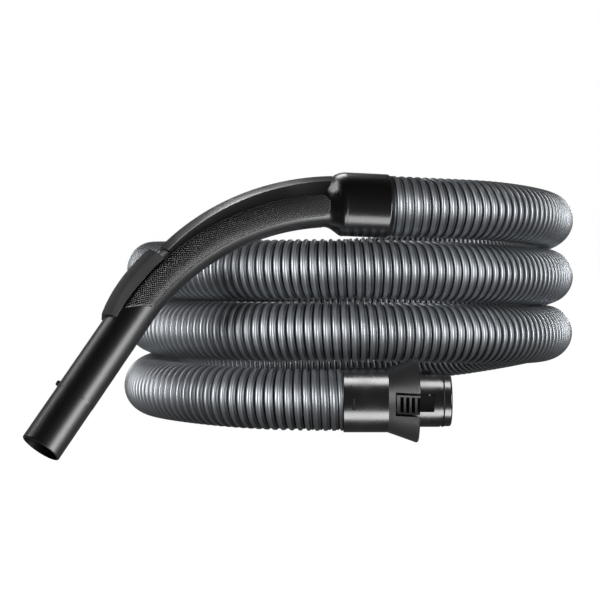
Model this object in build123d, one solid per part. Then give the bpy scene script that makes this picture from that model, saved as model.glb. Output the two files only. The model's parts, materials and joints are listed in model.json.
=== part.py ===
from build123d import *
import os
from math import cos, radians, sin, sqrt, tan

# Suction hose of a canister vacuum cleaner, coiled for storage: a bent hand grip with a wand spigot, a
# corrugated hose in almost three turns, and the connector that latches into the machine.
# Millimetres. +Z is up and the floor is Z = 0. +X runs along the connector, out of its spigot.
# The origin is on the floor, under the middle of the box that holds the grip and the connector.

# ---------------------------------------------------------------- driving dimensions

# Hose
HOSE_OUTER = 46.0
HOSE_WALL = 1.6

# Coil: a round stack of turns
COIL_CENTRE = (82.3, 217.7)
COIL_RADIUS = 167.0
COIL_POINTS_PER_TURN = 12
COIL_POINTS = 30
# Height of the hose's axis where each turn passes these angles, counted from the right side to the back
STATION_ANGLES = (0.0, 60.0, 105.0, 180.0, 270.0)
TURN_HEIGHTS = (
    (160.8, 127.0, 112.6, 120.4, 128.4),
    (113.8, 78.2, 67.9, 73.2, 81.0),
    (66.4, 29.6, 23.1, 23.1, 23.1),
)
# How much further out the middle turn lies at the back, so that the others settle beside it
MIDDLE_TURN_SPREAD = 14.0
# Points of the route outside the even turns: across, back from the coil's centre, and height.
# The first ones lead from the grip to the coil, the last ones from the coil to the connector.
GRIP_LEAD = 36.0
HEAD_POINTS = ((108.0, -136.5, 171.6), (148.5, -88.0, 166.2))
TAIL_POINTS = (
    (-170.0, 8.0, 23.1),
    (-167.3, -38.0, 24.3),
    (-162.5, -73.9, 26.6),
    (-153.2, -108.5, 29.2),
    (-135.8, -139.5, 31.0),
    (-111.0, -164.8, 31.8),
    (-80.5, -182.7, 31.8),
    (-45.9, -192.0, 31.6),
)
# Angles round the coil, counted from its first point, at which the hose is cut into spans
SPAN_CUT_ANGLES = (345.0, 705.0)

# Hose bushes, and the swivels that they turn in
RUNNING_GAP = 0.25
BUSH_WALL = 2.2
BUSH_IN_HOSE = 17.0
JOURNAL_LENGTH = 28.0
FLANGE_THICKNESS = 1.6
FLANGE_PROUD = 1.5
RING_WIDTH = 3.0
RING_SIDE_GAP = 0.2
RING_GROOVE_DEPTH = 1.2
RING_BITE = 0.8
RING_SPLIT = 3.0
GRIP_RING_AT = 21.0
CONNECTOR_RING_AT = 6.0
SEAL_AT = 13.0
SEAL_WIDTH = 2.4
SEAL_GROOVE_DEPTH = 1.0
SEAL_GAP = 0.05

# Grip: where its cuff ends, measured like the route, and how it points
CUFF_END = (25.2, -165.3, 175.3)
GRIP_YAW = 7.5
GRIP_DIP = 2.6
FLOOR_GAP = 0.05
GRIP_OUTER = 30.0
GRIP_WALL = 1.9
BEND_RADIUS = 186.0
BEND_ANGLE = 59.0
BEND_START = 30.5
BEND_DROP = 2.0
SPIGOT_LENGTH = 120.0
SPIGOT_LEAD = (42.0, 0.2)
MOUTH_BORE = (14.0, 0.3)
LEAD_RAMP = 1.5
SPIGOT_MOUTH_ROUND = 0.8
KEY_SLOT_FROM_TIP = 16.0
KEY_SLOT = (13.0, 6.0, 0.9)
CUFF_OUTER = 48.0
CUFF_LENGTH = 35.0
CUFF_RIM_ROUND = 1.2
NECK_ANGLE = 7.0

# Cover, pads and slider, by their angle round the bend
COVER_FROM_ANGLE, COVER_TO_ANGLE = 3.8, 44.5
COVER_HEIGHT_FROM, COVER_HEIGHT_TO = 22.4, 16.4
HOOD_HALF_WIDTH = 14.2
HOOD_TOP_HALF_WIDTH = 6.5
HOOD_CHAMFER = 7.6
SEAM_FROM, SEAM_TO = 4.3, 6.0
PAD_THICKNESS = 1.5
PAD_FROM_ANGLE, PAD_TO_ANGLE = 5.6, 63.0
PAD_LOW_ANGLE = 48.0
PAD_SLANT_AT_ANGLE = 59.0
PAD_SLANT_ANGLE = 36.0
PAD_SLANT_HEIGHT = -4.2
SLIDER_FROM_ANGLE, SLIDER_TO_ANGLE = 46.5, 63.4
SLIDER_HEIGHT_FROM, SLIDER_HEIGHT_TO = 21.2, 18.0
SLIDER_GAP = 0.3
SLIDER_SEAM_GAP = 0.6
BLEED_HOLE = 7.0
DETENT_LEAF = (12.0, 5.0, 0.5)
DETENT_POCKET_DEPTH = 2.2
DETENT_GAP = 0.3

# Lock pin of the wand spigot
LOCK_FROM_TIP = 46.0
LOCK_PIN = 4.0
LOCK_PIN_GAP = 0.2
LOCK_PROUD = 2.0
LOCK_HEAD = 6.4
LOCK_HEAD_THICKNESS = 1.2
LOCK_LEAF = (24.0, 5.0, 0.5)
LOCK_LEAF_SEAT = 4.0

# Connector
CONNECTOR_END = (-10.3, -192.0)
SLEEVE_OUTER = 48.0
SLEEVE_LENGTH = 33.0
SLEEVE_END_GAP = 0.3
SNAP_WINDOW = (2.4, 8.6)
SNAP_LUG_GAP = 0.2
COLLAR_LENGTH = 22.5
COLLAR_OUTER = 63.2
COLLAR_WALL = 2.0
COLLAR_RIM = 1.2
SPIGOT_OUTER = 40.0
SPIGOT_WALL = 2.2
SPIGOT_REACH = 80.0
NOSE_LENGTH = 8.2
NOSE_STEP = 0.5
NOSE_ROUND = 1.4
SEAL_GROOVE = (6.6, 1.0, 0.7)
KEY_RIB = (6.4, 5.0, 1.9)
KEY_RIB_TO_NOSE = 6.8

# Release buttons
BUTTON_WIDTH = 13.8
BUTTON_FROM, BUTTON_TO = 38.6, 55.2
BUTTON_SLOT_GAP = 1.7
BUTTON_END_GAP = 0.8
BUTTON_LIFT = 2.8
RIB_COUNT = 4
RIB_FROM = 41.0
RIB_GAP, RIB_PITCH, RIB_DEPTH = 2.5, 4.05, 1.8
RIB_END_WALL = 1.2
TONGUE_WIDTH = 11.8
TONGUE_TO_NOSE = 5.8
TONGUE_THICKNESS = 1.8
TONGUE_PROUD = 1.2
TONGUE_ROOT = 2.0
WINDOW_GAP = 0.5
LATCH_LEAF = (13.0, 6.0, 0.4)
LATCH_LEAF_GAP = 0.1

# How far a cutting shape reaches past the face that it cuts
CUT_PAST = 1.0

# ---------------------------------------------------------------- sizes that follow

COIL_STARTS_AT = 2 + len(HEAD_POINTS)
HOSE_RADIUS = HOSE_OUTER / 2
HOSE_BORE = HOSE_RADIUS - HOSE_WALL
BUSH_RADIUS = HOSE_BORE
SLEEVE_BORE = BUSH_RADIUS + RUNNING_GAP
GRIP_RADIUS = GRIP_OUTER / 2
GRIP_BORE = GRIP_RADIUS - GRIP_WALL
CUFF_RADIUS = CUFF_OUTER / 2
SLEEVE_RADIUS = SLEEVE_OUTER / 2
COLLAR_RADIUS = COLLAR_OUTER / 2
COLLAR_END = SLEEVE_LENGTH + COLLAR_LENGTH
SPIGOT_RADIUS = SPIGOT_OUTER / 2
SPIGOT_BORE = SPIGOT_RADIUS - SPIGOT_WALL
NOSE_RADIUS = SPIGOT_RADIUS - NOSE_STEP
NOSE_FROM = SPIGOT_REACH - NOSE_LENGTH
TONGUE_END = NOSE_FROM - TONGUE_TO_NOSE
KEY_RIB_END = NOSE_FROM - KEY_RIB_TO_NOSE
SLIDER_MIDDLE = (SLIDER_FROM_ANGLE + SLIDER_TO_ANGLE) / 2

# ---------------------------------------------------------------- shapes used by several pieces


def ring(outer, inner, start, end):
    """A plain sleeve along +X from start to end."""
    return extrude(Plane.YZ.offset(start) * (Circle(outer) - Circle(inner)), end - start)


def turned(points):
    """A piece turned about X, from its profile of (along, radius) points."""
    return revolve(make_face(Plane.XZ * Polyline(*points, close=True)), Axis.X)


def block(x_range, y_range, z_range):
    """A rectangular block between three pairs of limits."""
    limits = (x_range, y_range, z_range)
    size = [high - low for low, high in limits]
    middle = [(low + high) / 2 for low, high in limits]
    return Pos(*middle) * Box(*size)


def far_side(piece):
    """The same piece on the far side of the X axis."""
    return Rot(180, 0, 0) * piece


def facing_back(piece):
    """The same piece, pointing along +X instead of -X."""
    return Rot(0, 180, 0) * piece


def from_coil(across, back, height):
    """A place given from the coil's centre, in the part's own frame."""
    return Vector(COIL_CENTRE[0] + across, COIL_CENTRE[1] + back, height)


# ---------------------------------------------------------------- where the grip and the connector lie


def grip_station(angle, beyond=0.0):
    """A section plane of the grip. Its X is sideways, its Y points out of the bend, its Z to the hose."""
    turn = radians(angle)
    out = Vector(-sin(turn), 0, cos(turn))
    along = Vector(-cos(turn), 0, -sin(turn))
    centre = Vector(-BEND_START, 0, -BEND_DROP - BEND_RADIUS)
    return Plane(origin=centre + out * BEND_RADIUS + along * beyond, x_dir=(0, 1, 0), z_dir=-along)


def grip_frame(tilt):
    """The grip's frame in the whole part: X runs along the cuff to the hose. A tilt swings the tip out."""
    return Pos(from_coil(*CUFF_END)) * Rot(0, 0, GRIP_YAW) * Rot(0, GRIP_DIP, 0) * Rot(-tilt, 0, 0)


def tip_height(tilt):
    """Height of the lowest point of the wand spigot's mouth."""
    mouth = Plane(grip_frame(tilt) * grip_station(BEND_ANGLE, SPIGOT_LENGTH).location)
    return mouth.origin.Z - (GRIP_RADIUS - SPIGOT_LEAD[1]) * sqrt(1 - mouth.z_dir.Z**2)


def resting_tilt():
    """The tilt at which the spigot's mouth stands on the floor, found by halving an interval."""
    low, high = 0.0, 80.0
    for _ in range(40):
        middle = (low + high) / 2
        if tip_height(middle) < FLOOR_GAP:
            low = middle
        else:
            high = middle
    return high


GRIP_FRAME = grip_frame(resting_tilt())
CONNECTOR_FRAME = Pos(from_coil(*CONNECTOR_END, COLLAR_RADIUS))

# ---------------------------------------------------------------- grip


def duct(radius):
    """The grip's air duct as a round bar: the wand spigot, then the bend up to the neck."""
    tip = grip_station(BEND_ANGLE, SPIGOT_LENGTH)
    bend_low = grip_station(BEND_ANGLE).origin
    bend_middle = grip_station((BEND_ANGLE + NECK_ANGLE) / 2).origin
    bend = ThreePointArc(bend_low, bend_middle, grip_station(NECK_ANGLE).origin)
    path = Wire([Line(tip.origin, bend_low).edge(), bend.edge()])
    return sweep(tip * Circle(radius), path=path)


def neck(duct_radius, cuff_radius):
    """The flare from the duct to the cuff."""
    low = grip_station(NECK_ANGLE)
    high = Plane.YZ.offset(-CUFF_LENGTH)
    sections = [low * Circle(duct_radius)]
    for share, grown in ((0.3, 0.16), (0.7, 0.84)):
        origin = low.origin + (high.origin - low.origin) * share
        radius = duct_radius + (cuff_radius - duct_radius) * grown
        sections.append(Plane(origin=origin, x_dir=(0, 1, 0), z_dir=low.z_dir) * Circle(radius))
    sections.append(Plane(origin=high.origin, x_dir=(0, 1, 0), z_dir=(1, 0, 0)) * Circle(cuff_radius))
    return loft(sections)


def lock_frame():
    """Frame of the lock pin, on the spigot's axis: Z points out through the wall, Y to the tip."""
    return grip_station(BEND_ANGLE, SPIGOT_LENGTH - LOCK_FROM_TIP).location * Rot(-90, 0, 0)


def spigot_lead():
    """What is turned off the spigot's first stretch, so that the wand starts easily, and its key slot."""
    length, step = SPIGOT_LEAD
    low, full = GRIP_RADIUS - step, GRIP_RADIUS + CUT_PAST
    ramp_end = length + LEAD_RAMP
    outline = [(low, -CUT_PAST), (low, length), (GRIP_RADIUS, ramp_end), (full, ramp_end), (full, -CUT_PAST)]
    skin = revolve(make_face(Plane.XZ * Polyline(*outline, close=True)), Axis.Z)
    slot_length, slot_width, slot_depth = KEY_SLOT
    middle = KEY_SLOT_FROM_TIP + slot_length / 2
    slot = Pos(0, GRIP_RADIUS, middle) * Box(slot_width, 2 * slot_depth, slot_length)
    return grip_station(BEND_ANGLE, SPIGOT_LENGTH) * (skin + slot)


def mouth_bore():
    """The wider bore of the spigot's mouth, which guides a narrow tool pushed inside."""
    length, step = MOUTH_BORE
    wide, ramp_end = GRIP_BORE + step, length + LEAD_RAMP
    outline = [(0, -CUT_PAST), (wide, -CUT_PAST), (wide, length), (GRIP_BORE, ramp_end), (0, ramp_end)]
    bore = revolve(make_face(Plane.XZ * Polyline(*outline, close=True)), Axis.Z)
    return grip_station(BEND_ANGLE, SPIGOT_LENGTH) * bore


def bleed_port():
    """The round port in the outside of the duct that the slider covers."""
    drill = Rot(90, 0, 0) * Cylinder(BLEED_HOLE / 2, 4 * GRIP_WALL)
    return grip_station(BEND_ANGLE) * (Pos(0, GRIP_RADIUS, 0) * drill)


def grip_tube():
    cuff_from, cuff_to = -CUFF_LENGTH, -FLANGE_THICKNESS - RING_SIDE_GAP
    cuff = ring(CUFF_RADIUS, SLEEVE_BORE, cuff_from, cuff_to)
    cuff = fillet(cuff.edges().sort_by(Axis.X)[-2:].sort_by(SortBy.RADIUS)[-1], CUFF_RIM_ROUND)
    body = duct(GRIP_RADIUS) - spigot_lead()
    body = fillet(body.edges().sort_by(Axis.Z)[0], SPIGOT_MOUTH_ROUND)
    body += neck(GRIP_RADIUS, CUFF_RADIUS)
    body -= duct(GRIP_BORE) + mouth_bore()
    body -= neck(GRIP_BORE, SLEEVE_BORE)
    body += cuff
    body -= ring(SLEEVE_BORE + RING_BITE, SLEEVE_BORE / 2, -GRIP_RING_AT - RING_WIDTH, -GRIP_RING_AT)
    body -= bleed_port()
    pin_hole = Cylinder(LOCK_PIN / 2 + LOCK_PIN_GAP, 4 * GRIP_WALL)
    return body - lock_frame() * (Pos(0, 0, GRIP_RADIUS) * pin_hole)


def seam_height(angle):
    """Height over the duct's axis of the seam between the pads and the cover."""
    share = (angle - COVER_FROM_ANGLE) / (SLIDER_TO_ANGLE - COVER_FROM_ANGLE)
    return SEAM_FROM + (SEAM_TO - SEAM_FROM) * share


def hood_section(height, low):
    """Flat top, broad chamfers and upright sides, over the duct."""
    shoulder = height - HOOD_CHAMFER
    right = [(HOOD_HALF_WIDTH, low), (HOOD_HALF_WIDTH, shoulder), (HOOD_TOP_HALF_WIDTH, height)]
    left = [(-across, up) for across, up in reversed(right)]
    return make_face(Polyline(*right, *left, close=True))


def hood(start, end, heights, power, seam_gap):
    """A hood swept round part of the bend. Its height falls with a power of the way along it."""
    steps = 6
    sections = []
    for step in range(steps + 1):
        share = step / steps
        angle = start + (end - start) * share
        height = heights[0] + (heights[1] - heights[0]) * share**power
        sections.append(grip_station(angle) * hood_section(height, seam_height(angle) + seam_gap))
    return loft(sections)


def grip_cover():
    body = hood(COVER_FROM_ANGLE, COVER_TO_ANGLE, (COVER_HEIGHT_FROM, COVER_HEIGHT_TO), 2, 0)
    return body - duct(GRIP_RADIUS) - neck(GRIP_RADIUS, CUFF_RADIUS)


def air_slider():
    heights = (SLIDER_HEIGHT_FROM, SLIDER_HEIGHT_TO)
    body = hood(SLIDER_FROM_ANGLE, SLIDER_TO_ANGLE, heights, 3, SLIDER_SEAM_GAP)
    body -= duct(GRIP_RADIUS + SLIDER_GAP)
    length, width, _ = DETENT_LEAF
    pocket = Box(width + 2 * DETENT_GAP, 2 * DETENT_POCKET_DEPTH, length + 2 * DETENT_GAP)
    return body - grip_station(SLIDER_MIDDLE) * (Pos(0, GRIP_RADIUS, 0) * pocket)


def slider_detent_spring():
    """Leaf in the slider's roof, with a nub that drags on the duct."""
    length, width, thick = DETENT_LEAF
    top = GRIP_RADIUS + DETENT_POCKET_DEPTH - DETENT_GAP
    leaf = Pos(0, top - thick / 2, 0) * Box(width, thick, length)
    nub_low = GRIP_RADIUS + SLIDER_GAP
    nub = Pos(0, (nub_low + top - thick) / 2, 0) * Box(width / 2, top - thick - nub_low, length / 4)
    return grip_station(SLIDER_MIDDLE) * (leaf + nub)


def pad_section(angle):
    """Crescent against the far side of the duct, from the seam round to the underside."""
    outer = GRIP_RADIUS + PAD_THICKNESS
    high = seam_height(angle)
    top = Vector(sqrt(outer**2 - high**2), high)
    bottom = Vector(outer * cos(radians(PAD_LOW_ANGLE)), -outer * sin(radians(PAD_LOW_ANGLE)))
    skin = ThreePointArc(top, (outer, 0), bottom)
    inside = Polyline(bottom, bottom / 2, top / 2, top)
    return make_face([skin.edge(), *inside.edges()])


def grip_pad_back():
    steps = 6
    angles = [PAD_FROM_ANGLE + (PAD_TO_ANGLE - PAD_FROM_ANGLE) * step / steps for step in range(steps + 1)]
    body = loft([grip_station(angle) * pad_section(angle) for angle in angles])
    body -= duct(GRIP_RADIUS)
    body -= neck(GRIP_RADIUS, CUFF_RADIUS)
    size = 4 * GRIP_OUTER
    beyond = Rot(-PAD_SLANT_ANGLE, 0, 0) * Pos(0, 0, -size / 2) * Box(size, size, size)
    return body - grip_station(PAD_SLANT_AT_ANGLE) * (Pos(0, PAD_SLANT_HEIGHT, 0) * beyond)


def grip_pad_front():
    return mirror(grip_pad_back(), Plane.XZ)


def lock_head_span():
    """Where the pin's head lies under the spigot's wall, along the pin."""
    top = sqrt(GRIP_BORE**2 - (LOCK_HEAD / 2) ** 2) - LOCK_PIN_GAP
    return top - LOCK_HEAD_THICKNESS, top


def wand_lock_button():
    foot, head_top = lock_head_span()
    crown = GRIP_RADIUS + LOCK_PROUD
    pin = Pos(0, 0, (crown + foot) / 2) * Cylinder(LOCK_PIN / 2, crown - foot)
    pin = chamfer(pin.edges().sort_by(Axis.Z)[-1], LOCK_PIN / 8)
    head = Pos(0, 0, (foot + head_top) / 2) * Cylinder(LOCK_HEAD / 2, LOCK_HEAD_THICKNESS)
    return lock_frame() * (pin + head)


def lock_button_spring():
    """Leaf under the pin's head, which rises to its seat on the spigot's wall."""
    length, width, thick = LOCK_LEAF
    foot, _ = lock_head_span()
    seat = sqrt(GRIP_BORE**2 - (width / 2) ** 2) - LOCK_PIN_GAP
    over = [(-LOCK_HEAD / 2, foot), (LOCK_HEAD / 2, foot), (length, seat), (length + LOCK_LEAF_SEAT, seat)]
    under = [(along, up - thick) for along, up in reversed(over)]
    side = make_face(Plane.YZ * Polyline(*over, *under, close=True))
    return lock_frame() * extrude(side, width / 2, both=True)


# ---------------------------------------------------------------- swivel pieces, along X from the hose's end


def hose_bush(ring_at):
    """Bush screwed into the hose: its journal lies along -X, with grooves for the ring and the seal."""
    body = ring(BUSH_RADIUS, BUSH_RADIUS - BUSH_WALL, -JOURNAL_LENGTH, BUSH_IN_HOSE)
    groove = (-ring_at - RING_WIDTH - RING_SIDE_GAP, -ring_at + RING_SIDE_GAP)
    body -= ring(BUSH_RADIUS + CUT_PAST, BUSH_RADIUS - RING_GROOVE_DEPTH, *groove)
    groove = (-SEAL_AT - SEAL_WIDTH, -SEAL_AT)
    return body - ring(BUSH_RADIUS + CUT_PAST, BUSH_RADIUS - SEAL_GROOVE_DEPTH, *groove)


def grip_hose_bush():
    flange = ring(BUSH_RADIUS + FLANGE_PROUD, BUSH_RADIUS - BUSH_WALL, -FLANGE_THICKNESS, 0)
    return hose_bush(GRIP_RING_AT) + flange


def connector_hose_bush():
    return facing_back(hose_bush(CONNECTOR_RING_AT))


def swivel_seal():
    """Ring in the bush's groove that wipes the sleeve's bore."""
    return ring(SLEEVE_BORE - SEAL_GAP, BUSH_RADIUS - SEAL_GROOVE_DEPTH, -SEAL_AT - SEAL_WIDTH, -SEAL_AT)


def retainer_ring(ring_at):
    """Split ring seated in the sleeve's groove, which reaches into the bush's groove."""
    outer = SLEEVE_BORE + RING_BITE
    span = (-ring_at - RING_WIDTH, -ring_at)
    body = ring(outer, BUSH_RADIUS - RING_GROOVE_DEPTH + RING_SIDE_GAP, *span)
    return body - block(span, (-RING_SPLIT / 2, RING_SPLIT / 2), (0, outer))


# ---------------------------------------------------------------- connector, along X from the hose's end


def snap_blocks(outer, gap):
    """The snap windows on both sides of the sleeve, or with a gap the lugs that fill them."""
    middle = CONNECTOR_RING_AT + RING_WIDTH / 2
    wide, tall = (size / 2 - gap for size in SNAP_WINDOW)
    window = block((middle - wide, middle + wide), (-outer, -SLEEVE_BORE), (-tall, tall))
    return window + far_side(window)


def connector_cuff():
    body = ring(SLEEVE_RADIUS, SLEEVE_BORE, SLEEVE_END_GAP, SLEEVE_LENGTH)
    groove = (CONNECTOR_RING_AT, CONNECTOR_RING_AT + RING_WIDTH)
    body -= ring(SLEEVE_BORE + RING_BITE, SLEEVE_BORE / 2, *groove)
    return body - snap_blocks(SLEEVE_OUTER, 0)


def connector_retainer_ring():
    lugs = snap_blocks(SLEEVE_RADIUS - SNAP_LUG_GAP, SNAP_LUG_GAP)
    return facing_back(retainer_ring(CONNECTOR_RING_AT)) + lugs


def collar_radius_at(along):
    """Outer radius of the collar's cone."""
    rise = (COLLAR_RADIUS - SLEEVE_RADIUS) / (COLLAR_LENGTH - COLLAR_RIM)
    return SLEEVE_RADIUS + (along - SLEEVE_LENGTH) * rise


def release_collar():
    root_end = SLEEVE_LENGTH + COLLAR_WALL
    profile = [
        (SLEEVE_LENGTH, SPIGOT_RADIUS),
        (SLEEVE_LENGTH, SLEEVE_RADIUS),
        (COLLAR_END - COLLAR_RIM, COLLAR_RADIUS),
        (COLLAR_END, COLLAR_RADIUS - COLLAR_RIM / 2),
        (COLLAR_END, COLLAR_RADIUS - COLLAR_WALL),
        (root_end, collar_radius_at(root_end) - COLLAR_WALL),
        (root_end, SPIGOT_RADIUS),
    ]
    half = BUTTON_WIDTH / 2 + BUTTON_SLOT_GAP
    slot = block((BUTTON_FROM - BUTTON_END_GAP, SPIGOT_REACH), (-COLLAR_OUTER, -SPIGOT_RADIUS), (-half, half))
    return turned(profile) - slot - far_side(slot)


def tongue_window():
    """Window of the near side of the spigot that the latch tongue dips into."""
    half = TONGUE_WIDTH / 2 + WINDOW_GAP
    span = (BUTTON_TO - TONGUE_ROOT - WINDOW_GAP, TONGUE_END + WINDOW_GAP)
    return block(span, (-SPIGOT_OUTER, 0), (-half, half))


def seal_groove():
    """Where the seal's groove starts and ends on the nose, and the radius of its floor."""
    from_end, width, depth = SEAL_GROOVE
    start = SPIGOT_REACH - from_end
    return start, start + width, NOSE_RADIUS - depth


def machine_spigot():
    groove_at, groove_end, groove_floor = seal_groove()
    foot = JOURNAL_LENGTH + SLEEVE_END_GAP
    body = ring(SLEEVE_BORE, SPIGOT_BORE, foot, SLEEVE_LENGTH)
    body += ring(SPIGOT_RADIUS, SPIGOT_BORE, SLEEVE_LENGTH, NOSE_FROM)
    nose = ring(NOSE_RADIUS, SPIGOT_BORE, NOSE_FROM, SPIGOT_REACH)
    nose = fillet(nose.edges().sort_by(Axis.X)[-2:].sort_by(SortBy.RADIUS)[-1], NOSE_ROUND)
    body += nose
    body -= ring(SPIGOT_RADIUS, groove_floor, groove_at, groove_end)
    length, width, height = KEY_RIB
    along = (KEY_RIB_END - length, KEY_RIB_END)
    body += block(along, (-width / 2, width / 2), (NOSE_RADIUS, SPIGOT_RADIUS + height))
    return body - tongue_window() - far_side(tongue_window())


def spigot_seal():
    groove_at, groove_end, groove_floor = seal_groove()
    return ring(SPIGOT_RADIUS, groove_floor, groove_at, groove_end)


def release_button_front():
    """Ribbed button of the near side, with its latch tongue."""
    inner = SPIGOT_RADIUS + BUTTON_LIFT
    low = collar_radius_at(BUTTON_FROM)
    pad = turned([(BUTTON_FROM, inner), (BUTTON_FROM, low), (BUTTON_TO, COLLAR_RADIUS), (BUTTON_TO, inner)])
    half = BUTTON_WIDTH / 2
    pad &= block((BUTTON_FROM, BUTTON_TO), (-COLLAR_OUTER, 0), (-half, half))
    for rib in range(RIB_COUNT):
        start = RIB_FROM + rib * RIB_PITCH
        floor = collar_radius_at(start + RIB_GAP / 2) - RIB_DEPTH
        inside = half - RIB_END_WALL
        pad -= block((start, start + RIB_GAP), (-COLLAR_OUTER, -floor), (-inside, inside))
    crown = SPIGOT_RADIUS + TONGUE_PROUD
    half = TONGUE_WIDTH / 2
    start = BUTTON_TO - TONGUE_ROOT
    tongue = ring(crown, crown - TONGUE_THICKNESS, start, TONGUE_END)
    tongue &= block((start, TONGUE_END), (-COLLAR_OUTER, 0), (-half, half))
    web = block((start, BUTTON_TO), (-inner - CUT_PAST, CUT_PAST - crown), (-half, half))
    return pad + tongue + web


def latch_spring_front():
    """Bowed leaf between the spigot and the near button."""
    length, width, thick = LATCH_LEAF
    middle = BUTTON_FROM + length / 2
    foot = -SPIGOT_RADIUS - LATCH_LEAF_GAP
    crest = -sqrt((SPIGOT_RADIUS + BUTTON_LIFT) ** 2 - (width / 2) ** 2) + LATCH_LEAF_GAP
    ends = (middle - length / 2, middle + length / 2)
    inner = ThreePointArc((ends[0], foot), (middle, crest + thick), (ends[1], foot))
    outer = ThreePointArc((ends[1], foot - thick), (middle, crest), (ends[0], foot - thick))
    rims = [Line(inner @ 1, outer @ 0).edge(), Line(outer @ 1, inner @ 0).edge()]
    return extrude(make_face([inner.edge(), rims[0], outer.edge(), rims[1]]), width / 2, both=True)


# ---------------------------------------------------------------- hose


def coil_height(angle):
    """Height of the hose's axis at an angle counted on from the right side of the first turn."""
    stations = []
    for turn, heights in enumerate(TURN_HEIGHTS):
        stations += [(360 * turn + at, height) for at, height in zip(STATION_ANGLES, heights)]
    low, from_height = [station for station in stations if station[0] <= angle][-1]
    high, to_height = [station for station in stations if station[0] > angle][0]
    share = (1 - cos(radians(180) * (angle - low) / (high - low))) / 2
    return from_height + (to_height - from_height) * share


def coil_radius(angle):
    """How far from the coil's centre the hose's axis is at that angle."""
    spread = MIDDLE_TURN_SPREAD if 360 < angle < 540 else 0
    return COIL_RADIUS + spread * sin(radians(angle))


def hose_route():
    """The route's points: out of the grip, round the coil, and into the connector."""
    step = 360 / COIL_POINTS_PER_TURN
    points = [GRIP_FRAME.position, (GRIP_FRAME * Pos(GRIP_LEAD, 0, 0)).position]
    points += [from_coil(*point) for point in HEAD_POINTS]
    for number in range(COIL_POINTS):
        turn = radians(number * step)
        out = coil_radius(number * step) / cos(radians(step / 2))
        points.append(from_coil(out * cos(turn), out * sin(turn), coil_height(number * step)))
    points += [from_coil(*point) for point in TAIL_POINTS]
    return points + [CONNECTOR_FRAME.position]


def corner_radius(before, here, after):
    """The largest arc that the two runs at a corner leave room for."""
    turn = (here - before).get_angle(after - here)
    return 0.45 * min((here - before).length, (after - here).length) / tan(radians(turn / 2))


def hose_spans():
    """The hose as three tubes, which meet face to face halfway along a run."""
    points = hose_route()
    radii = [0] + [corner_radius(*near) for near in zip(points, points[1:], points[2:])]
    print("radii of the hose's bends", [round(radius) for radius in radii[1:]])
    points_per_degree = COIL_POINTS_PER_TURN / 360
    cuts = [COIL_STARTS_AT + int(angle * points_per_degree) for angle in SPAN_CUT_ANGLES]
    ends = [0, *cuts, len(points) - 1]
    section = Circle(HOSE_RADIUS) - Circle(HOSE_BORE)
    spans = []
    for first, last in zip(ends, ends[1:]):
        start = (points[first] + points[first + 1]) / 2 if first else points[0]
        corners = range(first + 1, last + 1 if last < ends[-1] else last)
        end = (points[last] + points[last + 1]) / 2 if last < ends[-1] else points[-1]
        path = FilletPolyline(start, *[points[at] for at in corners], end, radius=[radii[at] for at in corners])
        tube = sweep(Plane(origin=path @ 0, z_dir=path % 0) * section, path=path)
        print(f"span {path.length:.1f} long, volume {tube.volume:.0f}, section by length",
              f"{path.length * section.area:.0f}")
        spans.append(tube)
    return spans


# ---------------------------------------------------------------- all pieces

hose_span_top, hose_span_middle, hose_span_bottom = hose_spans()

IN_PLACE = {
    "hose_span_top": hose_span_top,
    "hose_span_middle": hose_span_middle,
    "hose_span_bottom": hose_span_bottom,
}
GRIP_PIECES = {
    "grip_tube": grip_tube(),
    "grip_cover": grip_cover(),
    "grip_pad_front": grip_pad_front(),
    "grip_pad_back": grip_pad_back(),
    "air_slider": air_slider(),
    "slider_detent_spring": slider_detent_spring(),
    "wand_lock_button": wand_lock_button(),
    "lock_button_spring": lock_button_spring(),
    "grip_retainer_ring": retainer_ring(GRIP_RING_AT),
    "grip_hose_bush": grip_hose_bush(),
    "grip_swivel_seal": swivel_seal(),
}
CONNECTOR_PIECES = {
    "connector_hose_bush": connector_hose_bush(),
    "connector_swivel_seal": facing_back(swivel_seal()),
    "connector_cuff": connector_cuff(),
    "connector_retainer_ring": connector_retainer_ring(),
    "release_collar": release_collar(),
    "machine_spigot": machine_spigot(),
    "spigot_seal": spigot_seal(),
    "release_button_front": release_button_front(),
    "release_button_back": far_side(release_button_front()),
    "latch_spring_front": latch_spring_front(),
    "latch_spring_back": far_side(latch_spring_front()),
}

os.makedirs("parts", exist_ok=True)
pieces = dict(IN_PLACE)
pieces.update({name: GRIP_FRAME * piece for name, piece in GRIP_PIECES.items()})
pieces.update({name: CONNECTOR_FRAME * piece for name, piece in CONNECTOR_PIECES.items()})
for name, piece in pieces.items():
    piece.label = name
    export_step(piece, f"parts/{name}.step")
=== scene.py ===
import json
import math

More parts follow.
